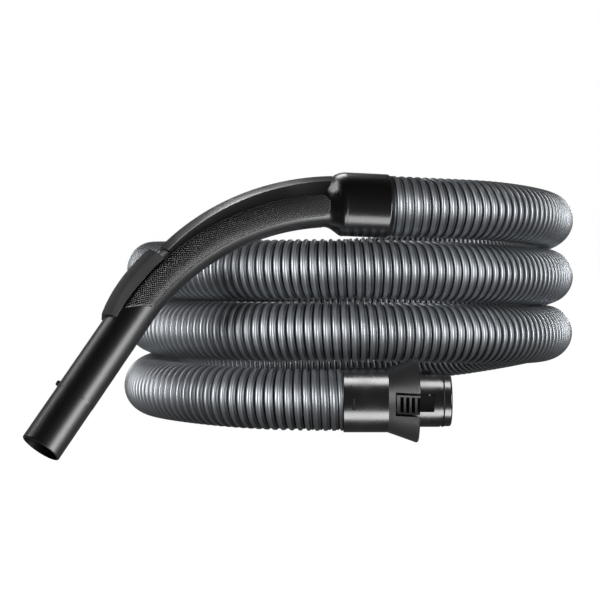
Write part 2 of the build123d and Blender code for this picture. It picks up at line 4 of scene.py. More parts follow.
import bmesh
import bpy
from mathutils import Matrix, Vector


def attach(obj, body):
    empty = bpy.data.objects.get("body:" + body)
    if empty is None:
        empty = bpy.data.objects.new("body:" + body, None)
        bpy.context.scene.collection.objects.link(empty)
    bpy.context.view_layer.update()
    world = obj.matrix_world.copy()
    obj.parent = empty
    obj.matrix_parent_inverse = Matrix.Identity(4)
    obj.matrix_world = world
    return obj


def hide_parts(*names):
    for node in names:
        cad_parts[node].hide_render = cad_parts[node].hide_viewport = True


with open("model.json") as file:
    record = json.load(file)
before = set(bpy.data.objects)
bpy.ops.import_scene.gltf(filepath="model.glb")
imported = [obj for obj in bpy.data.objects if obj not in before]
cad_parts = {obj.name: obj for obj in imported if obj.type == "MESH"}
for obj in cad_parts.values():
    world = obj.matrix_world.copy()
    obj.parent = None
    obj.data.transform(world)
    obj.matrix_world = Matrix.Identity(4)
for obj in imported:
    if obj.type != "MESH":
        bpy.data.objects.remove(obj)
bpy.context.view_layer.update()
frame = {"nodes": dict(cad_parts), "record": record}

# ---------------------------------------------------------------- hose
# One suction hose, 46 mm over its ridges and 3.2 m long. A profiled strip of EVA with a silver
# pigment is wound round a mandrel and welded to itself, so its ridges run as a screw thread. It is
# put away in a stack of almost three turns, and screwed onto the bush of each end piece.

joints = {joint["name"]: joint for joint in frame["record"]["behaviour"]["joints"]}
grip_end = Vector(joints["grip_swivel"]["pos_m"])
to_hose = -Vector(joints["grip_swivel"]["axis"])
connector_end = Vector(joints["connector_swivel"]["pos_m"])

COIL_CENTRE = Vector((0.0823, 0.2177, 0))
COIL_RADIUS = 0.167
POINTS_PER_TURN = 12
COIL_POINTS = 30
# Height of the hose's middle where each turn passes these angles, from the right side to the back
STATION_ANGLES = (0, 60, 105, 180, 270)
TURN_HEIGHTS = (
    (0.1608, 0.1270, 0.1126, 0.1204, 0.1284),
    (0.1138, 0.0782, 0.0679, 0.0732, 0.0810),
    (0.0664, 0.0296, 0.0231, 0.0231, 0.0231),
)
# How much further out the middle turn lies at the back, so that the others settle beside it
MIDDLE_TURN_SPREAD = 0.014
# Points outside the even turns, counted from the coil's centre: from the grip, to the connector
GRIP_LEAD = 0.036
HEAD_POINTS = ((0.1080, -0.1365, 0.1716), (0.1485, -0.0880, 0.1662))
TAIL_POINTS = (
    (-0.1700, 0.0080, 0.0231),
    (-0.1673, -0.0380, 0.0243),
    (-0.1625, -0.0739, 0.0266),
    (-0.1532, -0.1085, 0.0292),
    (-0.1358, -0.1395, 0.0310),
    (-0.1110, -0.1648, 0.0318),
    (-0.0805, -0.1827, 0.0318),
    (-0.0459, -0.1920, 0.0316),
)
LINE_STEPS_PER_POINT = 24


def coil_height(angle):
    """Height of the hose's middle at an angle counted on from the right side of the first turn."""
    stations = []
    for turn, heights in enumerate(TURN_HEIGHTS):
        stations += [(360 * turn + at, height) for at, height in zip(STATION_ANGLES, heights)]
    low, from_height = [station for station in stations if station[0] <= angle][-1]
    high, to_height = [station for station in stations if station[0] > angle][0]
    share = (1 - math.cos(math.pi * (angle - low) / (high - low))) / 2
    return from_height + (to_height - from_height) * share


def coil_radius(angle):
    """How far from the coil's centre the hose's middle is at that angle."""
    spread = MIDDLE_TURN_SPREAD if 360 < angle < 540 else 0
    return COIL_RADIUS + spread * math.sin(math.radians(angle))


def hose_route():
    """Out of the grip, round the coil and into the connector."""
    step = 360 / POINTS_PER_TURN
    points = [grip_end, grip_end + to_hose * GRIP_LEAD]
    points += [COIL_CENTRE + Vector(point) for point in HEAD_POINTS]
    for number in range(COIL_POINTS):
        turn = math.radians(number * step)
        out = coil_radius(number * step) / math.cos(math.radians(step / 2))
        across, back = out * math.cos(turn), out * math.sin(turn)
        points.append(COIL_CENTRE + Vector((across, back, coil_height(number * step))))
    points += [COIL_CENTRE + Vector(point) for point in TAIL_POINTS]
    return points + [connector_end]


def line_of(points):
    """The smooth line that a NURBS spline draws along the route's points."""
    curve = bpy.data.curves.new("hose_line", "CURVE")
    curve.dimensions = "3D"
    curve.resolution_u = LINE_STEPS_PER_POINT
    spline = curve.splines.new("NURBS")
    spline.points.add(len(points) - 1)
    for spot, point in zip(spline.points, points):
        spot.co = (*point, 1)
    spline.use_endpoint_u = True
    spline.order_u = 3
    carrier = bpy.data.objects.new("hose_line", curve)
    mesh = bpy.data.meshes.new_from_object(carrier)
    line = [vertex.co.copy() for vertex in mesh.vertices]
    bpy.data.objects.remove(carrier)
    bpy.data.curves.remove(curve)
    bpy.data.meshes.remove(mesh)
    return line


HOSE_RADIUS = 0.023
RIDGE_PITCH = 0.0062
RIDGE_DEPTH = 0.0030
BUSH_RADIUS = 0.0215
BUSH_IN_HOSE = 0.017
# The cut ends: how thick the flat face is, how far inside the ridges, and where its tone sits on
# the hose's painted shade from valley to crown
END_FACE_THICKNESS = 0.0002
END_FACE_INSET = 0.0004
END_FACE_CROWN = 0.3
HOSE_SIDES = 56
STATION_SPACING = 0.001
# The hose's direction at a station is taken between its neighbours this many stations away
DIRECTION_REACH = 4
WELD_DISTANCE = 0.00001
# Across one turn of the strip: a broad ridge, then the lower shoulder where the next turn is
# welded on. Each point is its share of the pitch, and its share of the ridge's depth.
STRIP_PROFILE = (
    (0.00, 0.00),
    (0.07, 0.35),
    (0.12, 0.78),
    (0.20, 0.95),
    (0.33, 1.00),
    (0.46, 0.96),
    (0.55, 0.80),
    (0.61, 0.48),
    (0.69, 0.50),
    (0.78, 0.60),
    (0.88, 0.55),
    (0.94, 0.20),
)

hose_line = line_of(hose_route())
line_ends = [0.0]
for before, here in zip(hose_line, hose_line[1:]):
    line_ends.append(line_ends[-1] + (here - before).length)
hose_length = line_ends[-1]


def hose_stations():
    """Even frames along the line, each turned as little as possible from the one before it."""
    count = round(hose_length / STATION_SPACING)
    places, at = [], 0
    for number in range(count + 1):
        distance = hose_length * number / count
        while at < len(line_ends) - 2 and line_ends[at + 1] < distance:
            at += 1
        share = (distance - line_ends[at]) / (line_ends[at + 1] - line_ends[at])
        places.append(hose_line[at].lerp(hose_line[at + 1], share))
    stations = []
    side = Vector((0, 0, 1))
    for number, place in enumerate(places):
        ahead = places[min(number + DIRECTION_REACH, count)]
        behind = places[max(number - DIRECTION_REACH, 0)]
        along = (ahead - behind).normalized()
        side = (side - along * side.dot(along)).normalized()
        stations.append((place, side, along.cross(side)))
    return stations


def wound_hose():
    """The ridged wall as one strip wound on like a thread, with a plain end face on each bush."""
    stations = hose_stations()
    per_ridge = len(STRIP_PROFILE)
    ridges = math.ceil(hose_length / RIDGE_PITCH) + 1
    positions, distances, crowns, rows = [], [], [], []
    for row in range(per_ridge * (ridges + 1)):
        share, rise = STRIP_PROFILE[row % per_ridge]
        ring = []
        for number in range(HOSE_SIDES):
            turn = number / HOSE_SIDES
            distance = (row // per_ridge - 1 + share + turn) * RIDGE_PITCH
            distance = min(max(distance, 0), hose_length)
            from_end = min(distance, hose_length - distance)
            on_bush = from_end < BUSH_IN_HOSE + RIDGE_PITCH
            depth = HOSE_RADIUS - BUSH_RADIUS if on_bush else RIDGE_DEPTH
            radius, crown = HOSE_RADIUS - depth * (1 - rise), rise
            if from_end < END_FACE_THICKNESS:
                radius, crown = HOSE_RADIUS - END_FACE_INSET, END_FACE_CROWN
            spot = distance / hose_length * (len(stations) - 1)
            low = min(int(spot), len(stations) - 2)
            pairs = zip(stations[low], stations[low + 1])
            place, side, up = (before.lerp(after, spot - low) for before, after in pairs)
            angle = 2 * math.pi * turn
            ring.append(len(positions))
            positions.append(place + (side * math.cos(angle) + up * math.sin(angle)) * radius)
            distances.append(distance)
            crowns.append(crown)
        rows.append(ring)
    faces = []
    for row in range(len(rows) - 1):
        for number in range(HOSE_SIDES):
            beside, after = row, number + 1
            if after == HOSE_SIDES:
                # Once round, the strip meets its next turn, one ridge further on
                beside, after = row + per_ridge, 0
            if beside + 1 >= len(rows):
                continue
            corners = (rows[row][number], rows[beside][after],
                       rows[beside + 1][after], rows[row + 1][number])
            reach = [distances[corner] for corner in corners]
            if max(reach) > 0 and min(reach) < hose_length:
                faces.append(corners)
    mesh = bpy.data.meshes.new("hose")
    mesh.from_pydata(positions, [], faces)
    mesh.attributes.new("crown", "FLOAT", "POINT").data.foreach_set("value", crowns)
    work = bmesh.new()
    work.from_mesh(mesh)
    bmesh.ops.remove_doubles(work, verts=work.verts, dist=WELD_DISTANCE)
    loose = [vert for vert in work.verts if not vert.link_faces]
    bmesh.ops.delete(work, geom=loose, context="VERTS")
    bmesh.ops.recalc_face_normals(work, faces=work.faces)
    work.to_mesh(mesh)
    work.free()
    mesh.shade_smooth()
    return mesh


def piece(name, mesh, body):
    """A new piece in the scene, riding on a body."""
    obj = bpy.data.objects.new(name, mesh)
    bpy.context.scene.collection.objects.link(obj)
    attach(obj, body)
    return obj


def linear(code):
    """An sRGB hex colour as the linear colour that the shaders need."""
    shares = [int(code[at:at + 2], 16) / 255 for at in (1, 3, 5)]
    return (*[s / 12.92 if s <= 0.04045 else ((s + 0.055) / 1.055) ** 2.4 for s in shares], 1)


def add(tree, kind, inputs=(), **settings):
    """A node with its settings. An input is a value, or another node's output socket."""
    node = tree.nodes.new("ShaderNode" + kind)
    for name, value in settings.items():
        setattr(node, name, value)
    for name, value in dict(inputs).items():
        if isinstance(value, bpy.types.NodeSocket):
            tree.links.new(value, node.inputs[name])
        else:
            node.inputs[name].default_value = value
    return node


def new_material(name):
    """A material with its shader and nothing else, and the shader's node."""
    material = bpy.data.materials.new(name)
    material.use_nodes = True
    tree = material.node_tree
    tree.nodes.clear()
    shader = add(tree, "BsdfPrincipled")
    add(tree, "OutputMaterial", {"Surface": shader.outputs["BSDF"]})
    return material, tree, shader


CLOUD_MM = 16.7


def wound_eva():
    """EVA with silver pigment, wound and welded: satin, faintly clouded and rougher in its valleys,
    with painted shade in the valleys and painted light on the crowns.
    """
    material, tree, shader = new_material("wound_eva_silver_grey")
    crown = add(tree, "Attribute", attribute_name="crown").outputs["Fac"]
    place = add(tree, "TexCoord").outputs["Object"]
    # Painted shade and painted light: the colour runs from near black in the valleys to light grey
    # on the crowns
    tone = add(tree, "ValToRGB", {"Fac": crown})
    ramp = tone.color_ramp
    ramp.elements[0].position, ramp.elements[0].color = 0.05, linear("#1c1d20")
    ramp.elements[1].position, ramp.elements[1].color = 0.95, linear("#9a9ea2")
    ramp.elements.new(0.50).color = linear("#6c6f74")
    clouds = add(tree, "TexNoise", {"Vector": place, "Scale": 1000 / CLOUD_MM, "Detail": 3})
    amount = add(tree, "MapRange", {"Value": clouds.outputs["Fac"], "From Min": 0.45,
                                    "From Max": 0.75, "To Max": 0.25})
    varied = add(tree, "MixRGB", {"Fac": amount.outputs["Result"],
                                  "Color1": tone.outputs["Color"], "Color2": linear("#606367")})
    tree.links.new(varied.outputs["Color"], shader.inputs["Base Color"])
    dull = add(tree, "MapRange", {"Value": crown, "From Min": 0.2, "From Max": 0.9,
                                  "To Min": 0.52, "To Max": 0.44})
    tree.links.new(dull.outputs["Result"], shader.inputs["Roughness"])
    shader.inputs["Metallic"].default_value = 0.9
    shader.inputs["IOR"].default_value = 1.48
    return material


hose = piece("hose", wound_hose(), "hose")
hose.data.materials.append(wound_eva())
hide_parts("hose_span_top", "hose_span_middle", "hose_span_bottom")

# ---------------------------------------------------------------- grip tube
# One moulding in black ABS: the socket for the hose, a flare, the bend that fits the hand, and the
# spigot that the wand slides on. It is the air duct too. The core pull leaves its walls satin.

bend_centre = Vector(joints["air_slide"]["pos_m"])
sideways = Vector(joints["air_slide"]["axis"])
upright = to_hose.cross(sideways)
BEND_RADIUS = 0.186
DUCT_RADIUS = 0.015


def at_bend(angle, across, outward):
    """A place by its angle round the bend, its distance sideways, and out of the duct's middle."""
    turn = math.radians(angle)
    out = upright * math.cos(turn) - to_hose * math.sin(turn)
    return bend_centre + out * (BEND_RADIUS + outward) + sideways * across


# The melt's flow leaves slow changes of tone and gloss. The grain's pits are shallow
FLOW_MM = 26.3
FLOW_LIGHTENS = 1.35
GRAIN_DEPTH = 0.0002


def moulded_abs(name, colour, roughness, grain, grain_mm):
    """Moulded black ABS: a fine grain from the tool, and slow changes of tone and gloss."""
    material, tree, shader = new_material(name)
    place = add(tree, "TexCoord").outputs["Object"]
    flow = add(tree, "TexNoise", {"Vector": place, "Scale": 1000 / FLOW_MM, "Detail": 2})
    flow = flow.outputs["Fac"]
    gloss = add(tree, "MapRange", {"Value": flow, "From Min": 0.3, "From Max": 0.7,
                                   "To Min": roughness - 0.04, "To Max": roughness + 0.05})
    tree.links.new(gloss.outputs["Result"], shader.inputs["Roughness"])
    lighter = (*[channel * FLOW_LIGHTENS for channel in linear(colour)[:3]], 1)
    tone = add(tree, "MixRGB", {"Fac": flow, "Color1": linear(colour), "Color2": lighter})
    tree.links.new(tone.outputs["Color"], shader.inputs["Base Color"])
    pits = add(tree, "TexNoise", {"Vector": place, "Scale": 1000 / grain_mm, "Detail": 2,
                                  "Roughness": 0.6})
    relief = add(tree, "Bump", {"Height": pits.outputs["Fac"], "Strength": grain,
                                "Distance": GRAIN_DEPTH})
    tree.links.new(relief.outputs["Normal"], shader.inputs["Normal"])
    shader.inputs["IOR"].default_value = 1.54
    return material


def shader_of(material):
    """The shader's node of a finished material."""
    nodes = material.node_tree.nodes
    return [node for node in nodes if node.type == "BSDF_PRINCIPLED"][0]


def finish_node(node, material):
    """Gives a CAD node's slots one material."""
    for spot in frame["nodes"][node].material_slots:
        spot.material = material


# The tube grows glossier between these two places, measured along the connector's direction
SATIN_TO, POLISHED_FROM = 0.010, 0.085
SATIN, POLISHED = 0.38, 0.24


def tube_abs():
    """The tube's ABS is polished round the cuff, and satin from the flare to the spigot's mouth."""
    material = moulded_abs("satin_moulded_black_abs", "#080809", roughness=0.25, grain=0.10,
                           grain_mm=0.8)
    tree = material.node_tree
    place = add(tree, "SeparateXYZ", {"Vector": add(tree, "TexCoord").outputs["Object"]})
    gloss = shader_of(material).inputs["Roughness"].links[0].from_node
    tree.links.new(place.outputs["X"], gloss.inputs["Value"])
    gloss.inputs["From Min"].default_value = SATIN_TO
    gloss.inputs["From Max"].default_value = POLISHED_FROM
    gloss.inputs["To Min"].default_value = SATIN
    gloss.inputs["To Max"].default_value = POLISHED
    return material


finish_node("grip_tube", tube_abs())

# ---------------------------------------------------------------- grip cover
# The hood over the outside of the bend, moulded in the same ABS but with a spark-eroded face that
# looks greyer. It snaps onto the tube along the seam, with a flat top and broad chamfers.

# Where the cover and the slider start and end, in degrees round the bend
COVER_FROM, COVER_TO = 3.8, 44.5
SLIDER_FROM, SLIDER_TO = 46.5, 63.4
COVER_HEIGHTS = (0.0224, 0.0164)
HOOD_HALF_WIDTH = 0.0142
HOOD_TOP_HALF_WIDTH = 0.0065
HOOD_CHAMFER = 0.0076
HOOD_SUNK = 0.0004
HOOD_STEP = 0.6
HOLLOW_SIDES = 8
SEAM_FROM, SEAM_TO = 0.0043, 0.0060
EDGE_RADIUS = 0.0010
SHARP_EDGE = math.radians(30)


def seam_height(angle):
    """Height over the duct's middle of the seam between the pads and the cover."""
    share = (angle - COVER_FROM) / (SLIDER_TO - COVER_FROM)
    return SEAM_FROM + (SEAM_TO - SEAM_FROM) * share


def hood_mesh(name, start, end, heights, power, gap):
    """A hood along part of the bend, hollow side down, closed where it sits in the duct's wall.

    Its height goes from the first to the second as the power of the way along says. The gap is
    what it keeps from the duct's wall and from the seam.
    """
    steps = round(abs(end - start) / HOOD_STEP)
    inner = DUCT_RADIUS - HOOD_SUNK + gap
    rings = []
    for step in range(steps + 1):
        share = step / steps
        angle = start + (end - start) * share
        height = heights[0] + (heights[1] - heights[0]) * share ** power
        low = seam_height(angle) + gap
        outline = [(HOOD_HALF_WIDTH, low), (HOOD_HALF_WIDTH, height - HOOD_CHAMFER),
                   (HOOD_TOP_HALF_WIDTH, height)]
        outline += [(-across, up) for across, up in reversed(outline)]
        foot = math.asin(low / inner)
        for number in range(HOLLOW_SIDES + 1):
            turn = math.pi - foot - (math.pi - 2 * foot) * number / HOLLOW_SIDES
            outline.append((inner * math.cos(turn), inner * math.sin(turn)))
        rings.append([at_bend(angle, across, up) for across, up in outline])
    work = bmesh.new()
    loops = [[work.verts.new(place) for place in ring] for ring in rings]
    count = len(loops[0])
    for before, after in zip(loops, loops[1:]):
        for number in range(count):
            beside = (number + 1) % count
            work.faces.new((before[number], before[beside], after[beside], after[number]))
    work.faces.new(loops[0])
    work.faces.new(reversed(loops[-1]))
    bmesh.ops.recalc_face_normals(work, faces=work.faces)
    mesh = bpy.data.meshes.new(name)
    work.to_mesh(mesh)
    work.free()
    return mesh


def round_edges(obj):
    """Rounds a moulding's sharp edges, and shades its faces smoothly between them."""
    bevel = obj.modifiers.new("rounding", "BEVEL")
    bevel.width = EDGE_RADIUS
    bevel.segments = 3
    bevel.limit_method = "ANGLE"
    bevel.angle_limit = SHARP_EDGE
    obj.data.shade_smooth()


cover = piece("cover_hood", hood_mesh("cover_hood", COVER_FROM, COVER_TO, COVER_HEIGHTS,
                                      power=2, gap=0), "grip")
round_edges(cover)
cover.data.materials.append(moulded_abs("spark_eroded_black_abs", "#0a0a0b", roughness=0.30,
                                        grain=0.20, grain_mm=0.7))
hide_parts("grip_cover")

# ---------------------------------------------------------------- grip pads
# Two soft pads of TPE, overmoulded on the sides of the bend up to the seam. Their faces carry a
# fine pattern of raised diamonds for grip, and their rims roll down into the tube.

PAD_FROM, PAD_END = 5.4, 61.2
PAD_LOW = -50
PAD_THICKNESS = 0.0015
PAD_ROLL = 0.0016
PAD_RIM_SUNK = 0.0002
PAD_CORNER = 0.0075
# The pad's lower end is cut at a slant: degrees of bend per metre above its middle
PAD_END_SLANT = 273
PAD_END_MIDDLE = 0.0052
# The pad's width is laid out for this angle of the bend, and its top then follows the seam
PAD_DRAWN_AT = 30
PAD_LONG_STEPS, PAD_ROUND_STEPS = 210, 34
NECK_FROM, NECK_TO = 7.2, 1.4
CUFF_GROWTH = 0.009


def flare(angle):
    """How much the tube has grown where it flares to the cuff."""
    share = min(max((NECK_FROM - angle) / (NECK_FROM - NECK_TO), 0), 1)
    return CUFF_GROWTH * share ** 2 * (3 - 2 * share)


def pad_mesh(name, hand):
    """A pad on one side of the duct. Its map runs in millimetres along the bend and round it."""
    pad_radius = DUCT_RADIUS + PAD_THICKNESS
    high = math.degrees(math.asin(seam_height(PAD_DRAWN_AT) / pad_radius))
    width = DUCT_RADIUS * math.radians(high - PAD_LOW)
    positions, maps, faces = [], [], []
    for row in range(PAD_LONG_STEPS + 1):
        for column in range(PAD_ROUND_STEPS + 1):
            share = column / PAD_ROUND_STEPS
            lift = math.radians(PAD_LOW + (high - PAD_LOW) * share)
            across_from_rim = min(share, 1 - share) * width
            inset = max(0, PAD_CORNER - across_from_rim)
            pulled = PAD_CORNER - math.sqrt(PAD_CORNER ** 2 - inset ** 2)
            start = PAD_FROM + math.degrees(pulled / BEND_RADIUS)
            end = PAD_END + PAD_END_SLANT * (DUCT_RADIUS * math.sin(lift) - PAD_END_MIDDLE)
            along = row / PAD_LONG_STEPS
            angle = start + (end - start) * along
            along_from_rim = min(along, 1 - along) * math.radians(end - start) * BEND_RADIUS
            rim = min(1, min(across_from_rim, along_from_rim) / PAD_ROLL)
            rise = PAD_THICKNESS * math.sqrt(1 - (1 - rim) ** 2) - PAD_RIM_SUNK * (1 - rim)
            high_here = math.asin(seam_height(angle) / pad_radius)
            lift += (high_here - math.radians(high)) * share
            out = DUCT_RADIUS + rise + flare(angle)
            positions.append(at_bend(angle, hand * out * math.cos(lift), out * math.sin(lift)))
            maps.append((math.radians(angle) * BEND_RADIUS * 1000, lift * DUCT_RADIUS * 1000))
    wide = PAD_ROUND_STEPS + 1
    for row in range(PAD_LONG_STEPS):
        for column in range(PAD_ROUND_STEPS):
            first = row * wide + column
            faces.append((first, first + 1, first + wide + 1, first + wide))
    mesh = bpy.data.meshes.new(name)
    mesh.from_pydata(positions, [], faces)
    sheet = mesh.uv_layers.new(name="millimetres")
    for loop in mesh.loops:
        sheet.data[loop.index].uv = maps[loop.vertex_index]
    if hand < 0:
        mesh.flip_normals()
    mesh.shade_smooth()
    return mesh


# The real diamonds are about 1 mm apart, too fine to show, so these are drawn coarser
DIAMOND_MM = 2.3
DIAMOND_SLANT = 1.35
DIAMOND_DEPTH = 0.0006


def diamond_tpe():
    """TPE with raised diamonds and a soft shine: painted shade near black between the diamonds, and
    painted light on their tops.
    """
    material, tree, shader = new_material("overmoulded_tpe_with_diamonds")
    sheet = add(tree, "UVMap", uv_map="millimetres").outputs["UV"]
    split = add(tree, "SeparateXYZ", {"Vector": sheet})
    waves = []
    for turn in (1, -1):
        slanted = add(tree, "Math", {0: split.outputs["Y"], 1: turn * DIAMOND_SLANT,
                                     2: split.outputs["X"]}, operation="MULTIPLY_ADD")
        wave = add(tree, "Math", {0: slanted.outputs[0], 1: DIAMOND_MM / 2}, operation="PINGPONG")
        waves.append(wave.outputs[0])
    lattice = add(tree, "Math", {0: waves[0], 1: waves[1]}, operation="MINIMUM")
    height = add(tree, "MapRange", {"Value": lattice.outputs[0], "From Min": 0.10,
                                    "From Max": 0.70}, interpolation_type="SMOOTHSTEP")
    # Painted shade in the hollows between the diamonds, painted light on their tops
    tone = add(tree, "MixRGB", {"Fac": height.outputs["Result"], "Color1": linear("#020203"),
                                "Color2": linear("#131415")})
    tree.links.new(tone.outputs["Color"], shader.inputs["Base Color"])
    relief = add(tree, "Bump", {"Height": height.outputs["Result"], "Strength": 1.0,
                                "Distance": DIAMOND_DEPTH})
    tree.links.new(relief.outputs["Normal"], shader.inputs["Normal"])
    shader.inputs["Roughness"].default_value = 0.36
    shader.inputs["IOR"].default_value = 1.50
    return material


soft_grip = diamond_tpe()
for name, hand in (("front", -1), ("back", 1)):
    pad = piece("diamond_pad_" + name, pad_mesh("diamond_pad_" + name, hand), "grip")
    pad.data.materials.append(soft_grip)
    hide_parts("grip_pad_" + name)

# ---------------------------------------------------------------- suction slider
# The thumb slides this ABS shutter along the bend, to bleed air through the port under it and so
# weaken the suction. It snaps over rails on the tube, and a spring leaf gives it its clicks.
# Its eroded face is coloured a lighter grey than the cover.

SLIDER_HEIGHTS = (0.0212, 0.0180)
SLIDER_GAP = 0.0006

slider = piece("suction_shutter", hood_mesh("suction_shutter", SLIDER_FROM, SLIDER_TO,
                                            SLIDER_HEIGHTS, power=3, gap=SLIDER_GAP), "air_slider")
round_edges(slider)
# A lighter grey than the cover's ABS
slider.data.materials.append(moulded_abs("lighter_grey_eroded_black_abs", "#262627", roughness=0.38,
                                         grain=0.20, grain_mm=0.7))
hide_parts("air_slider")

# ---------------------------------------------------------------- small metal and hidden pieces
# Strip springs of stainless steel under the slider, the lock pin and the latches, the acetal rings
# that hold the swivels together, the bushes screwed into the hose, and the rubber seals.

ROLLED_LINE_MM = (3.3, 0.25, 0.25)
DUST_MM = 2.5


def cold_rolled_steel():
    """Stainless spring strip: rolled, so it has fine lines and a soft shine."""
    material, tree, shader = new_material("cold_rolled_stainless_strip")
    place = add(tree, "TexCoord").outputs["Object"]
    drawn = add(tree, "Mapping", {"Vector": place, "Scale": [1000 / mm for mm in ROLLED_LINE_MM]})
    lines = add(tree, "TexNoise", {"Vector": drawn.outputs["Vector"], "Scale": 1, "Detail": 2})
    gloss = add(tree, "MapRange", {"Value": lines.outputs["Fac"], "To Min": 0.22, "To Max": 0.42})
    tree.links.new(gloss.outputs["Result"], shader.inputs["Roughness"])
    shader.inputs["Base Color"].default_value = linear("#b4b5b6")
    shader.inputs["Metallic"].default_value = 1.0
    return material


def nitrile_rubber():
    """Moulded nitrile: black, faintly dusty and quite matt."""
    material, tree, shader = new_material("moulded_nitrile_rubber")
    place = add(tree, "TexCoord").outputs["Object"]
    dust = add(tree, "TexNoise", {"Vector": place, "Scale": 1000 / DUST_MM, "Detail": 3})
    tone = add(tree, "MixRGB", {"Fac": dust.outputs["Fac"], "Color1": linear("#0e0e0f"),
                                "Color2": linear("#1b1b1c")})
    tree.links.new(tone.outputs["Color"], shader.inputs["Base Color"])
    shader.inputs["Roughness"].default_value = 0.62
    return material


spring_strip = cold_rolled_steel()
seal_rubber = nitrile_rubber()
acetal = moulded_abs("moulded_black_acetal", "#161617", roughness=0.30, grain=0.05, grain_mm=0.6)
lug_acetal = moulded_abs("matt_moulded_black_acetal", "#030303", roughness=0.60, grain=0.05,
                         grain_mm=0.6)
bush_abs = moulded_abs("plain_moulded_black_abs", "#101011", roughness=0.40, grain=0.10,
                       grain_mm=0.8)
for node, material in (
    ("slider_detent_spring", spring_strip),
    ("lock_button_spring", spring_strip),
    ("latch_spring_front", spring_strip),
    ("latch_spring_back", spring_strip),
    ("grip_swivel_seal", seal_rubber),
    ("connector_swivel_seal", seal_rubber),
    ("spigot_seal", seal_rubber),
    ("grip_retainer_ring", acetal),
    ("wand_lock_button", acetal),
    ("connector_retainer_ring", lug_acetal),
    ("grip_hose_bush", bush_abs),
    ("connector_hose_bush", bush_abs),
):
    finish_node(node, material)

# ---------------------------------------------------------------- connector
# The end that plugs into the machine: a glossy ABS sleeve that swivels on the hose's bush, a spigot
# with a key rib and a seal, and a flared collar with two ribbed buttons. It is all moulded, and the
# collar's tool was spark-eroded. The buttons' tongues catch in the machine.

glossy_abs = moulded_abs("glossy_moulded_black_abs", "#080809", roughness=0.26, grain=0.06,
                         grain_mm=0.8)
finish_node("connector_cuff", glossy_abs)
finish_node("machine_spigot", glossy_abs)

# The collar's cone starts this far from the sleeve's end, and grows by this much per metre
COLLAR_AT, COLLAR_SLOPE = 0.033, 7.6 / 21.3
SLEEVE_RADIUS = 0.024
BUTTON_END = 0.0556
# Under the cone's face the slots get painted shade, from the first depth to the second
SLOT_LIGHT_TO, SLOT_DARK_FROM = 0.0007, 0.0014
# How much colour and reflection the painted shade leaves deep in the slots, and at least on the
# tongues
SLOT_SHADE, TONGUE_SHADE = 0.12, 0.5
BARE_SPECULAR = 0.5


def eroded_collar_abs():
    """The collar's eroded ABS: greyish, with painted shade near black deep in its slots and lighter
    painted shade on the tongues.
    """
    material = moulded_abs("eroded_black_abs_collar", "#161617", roughness=0.42, grain=0.30,
                           grain_mm=0.7)
    tree = material.node_tree
    shader = shader_of(material)
    place = add(tree, "TexCoord").outputs["Object"]
    from_end = add(tree, "VectorMath", {0: place, 1: connector_end}, operation="SUBTRACT")
    split = add(tree, "SeparateXYZ", {"Vector": from_end.outputs["Vector"]})
    across = add(tree, "CombineXYZ", {"Y": split.outputs["Y"], "Z": split.outputs["Z"]})
    radius = add(tree, "VectorMath", {0: across.outputs["Vector"]}, operation="LENGTH")
    cone = add(tree, "Math", {0: split.outputs["X"], 1: COLLAR_SLOPE,
                              2: SLEEVE_RADIUS - COLLAR_AT * COLLAR_SLOPE},
               operation="MULTIPLY_ADD")
    depth = add(tree, "Math", {0: cone.outputs[0], 1: radius.outputs["Value"]},
                operation="SUBTRACT")
    slot = add(tree, "MapRange", {"Value": depth.outputs[0], "From Min": SLOT_LIGHT_TO,
                                  "From Max": SLOT_DARK_FROM, "To Min": 1.0,
                                  "To Max": SLOT_SHADE})
    past_collar = add(tree, "Math", {0: split.outputs["X"], 1: BUTTON_END},
                      operation="GREATER_THAN")
    tongue = add(tree, "Math", {0: past_collar.outputs[0], 1: TONGUE_SHADE}, operation="MULTIPLY")
    shade = add(tree, "Math", {0: slot.outputs["Result"], 1: tongue.outputs[0]},
                operation="MAXIMUM")
    # Painted shade: the face's colour and its reflection are darkened by the slot's depth
    face = shader.inputs["Base Color"].links[0].from_socket
    tone = add(tree, "MixRGB", {"Fac": shade.outputs[0], "Color1": linear("#020202"),
                                "Color2": face})
    tree.links.new(tone.outputs["Color"], shader.inputs["Base Color"])
    shine = add(tree, "Math", {0: shade.outputs[0], 1: BARE_SPECULAR}, operation="MULTIPLY")
    tree.links.new(shine.outputs[0], shader.inputs["Specular IOR Level"])
    return material


collar_abs = eroded_collar_abs()
for node in ("release_collar", "release_button_front", "release_button_back"):
    finish_node(node, collar_abs)

# ---------------------------------------------------------------- studio
# A table top of frosted white acrylic, lit from below as well as from above, with a white wall
# behind it and a dark room in front. Softboxes stand all round, and black cards keep each of them
# to the pieces that it is there for.

FLOOR_HALF_WIDTH = 12
FLOOR_DROP = 0.0005


def standing_floor():
    """A flat square under the object, which only the camera sees."""
    wide = FLOOR_HALF_WIDTH
    mesh = bpy.data.meshes.new("floor")
    mesh.from_pydata([(-wide, -wide, 0), (wide, -wide, 0), (wide, wide, 0), (-wide, wide, 0)],
                     [], [(0, 1, 2, 3)])
    floor = bpy.data.objects.new("floor", mesh)
    bpy.context.scene.collection.objects.link(floor)
    floor.location.z = -FLOOR_DROP
    floor.visible_diffuse = False
    floor.visible_glossy = False
    floor.visible_transmission = False
    floor.visible_shadow = False
    return floor


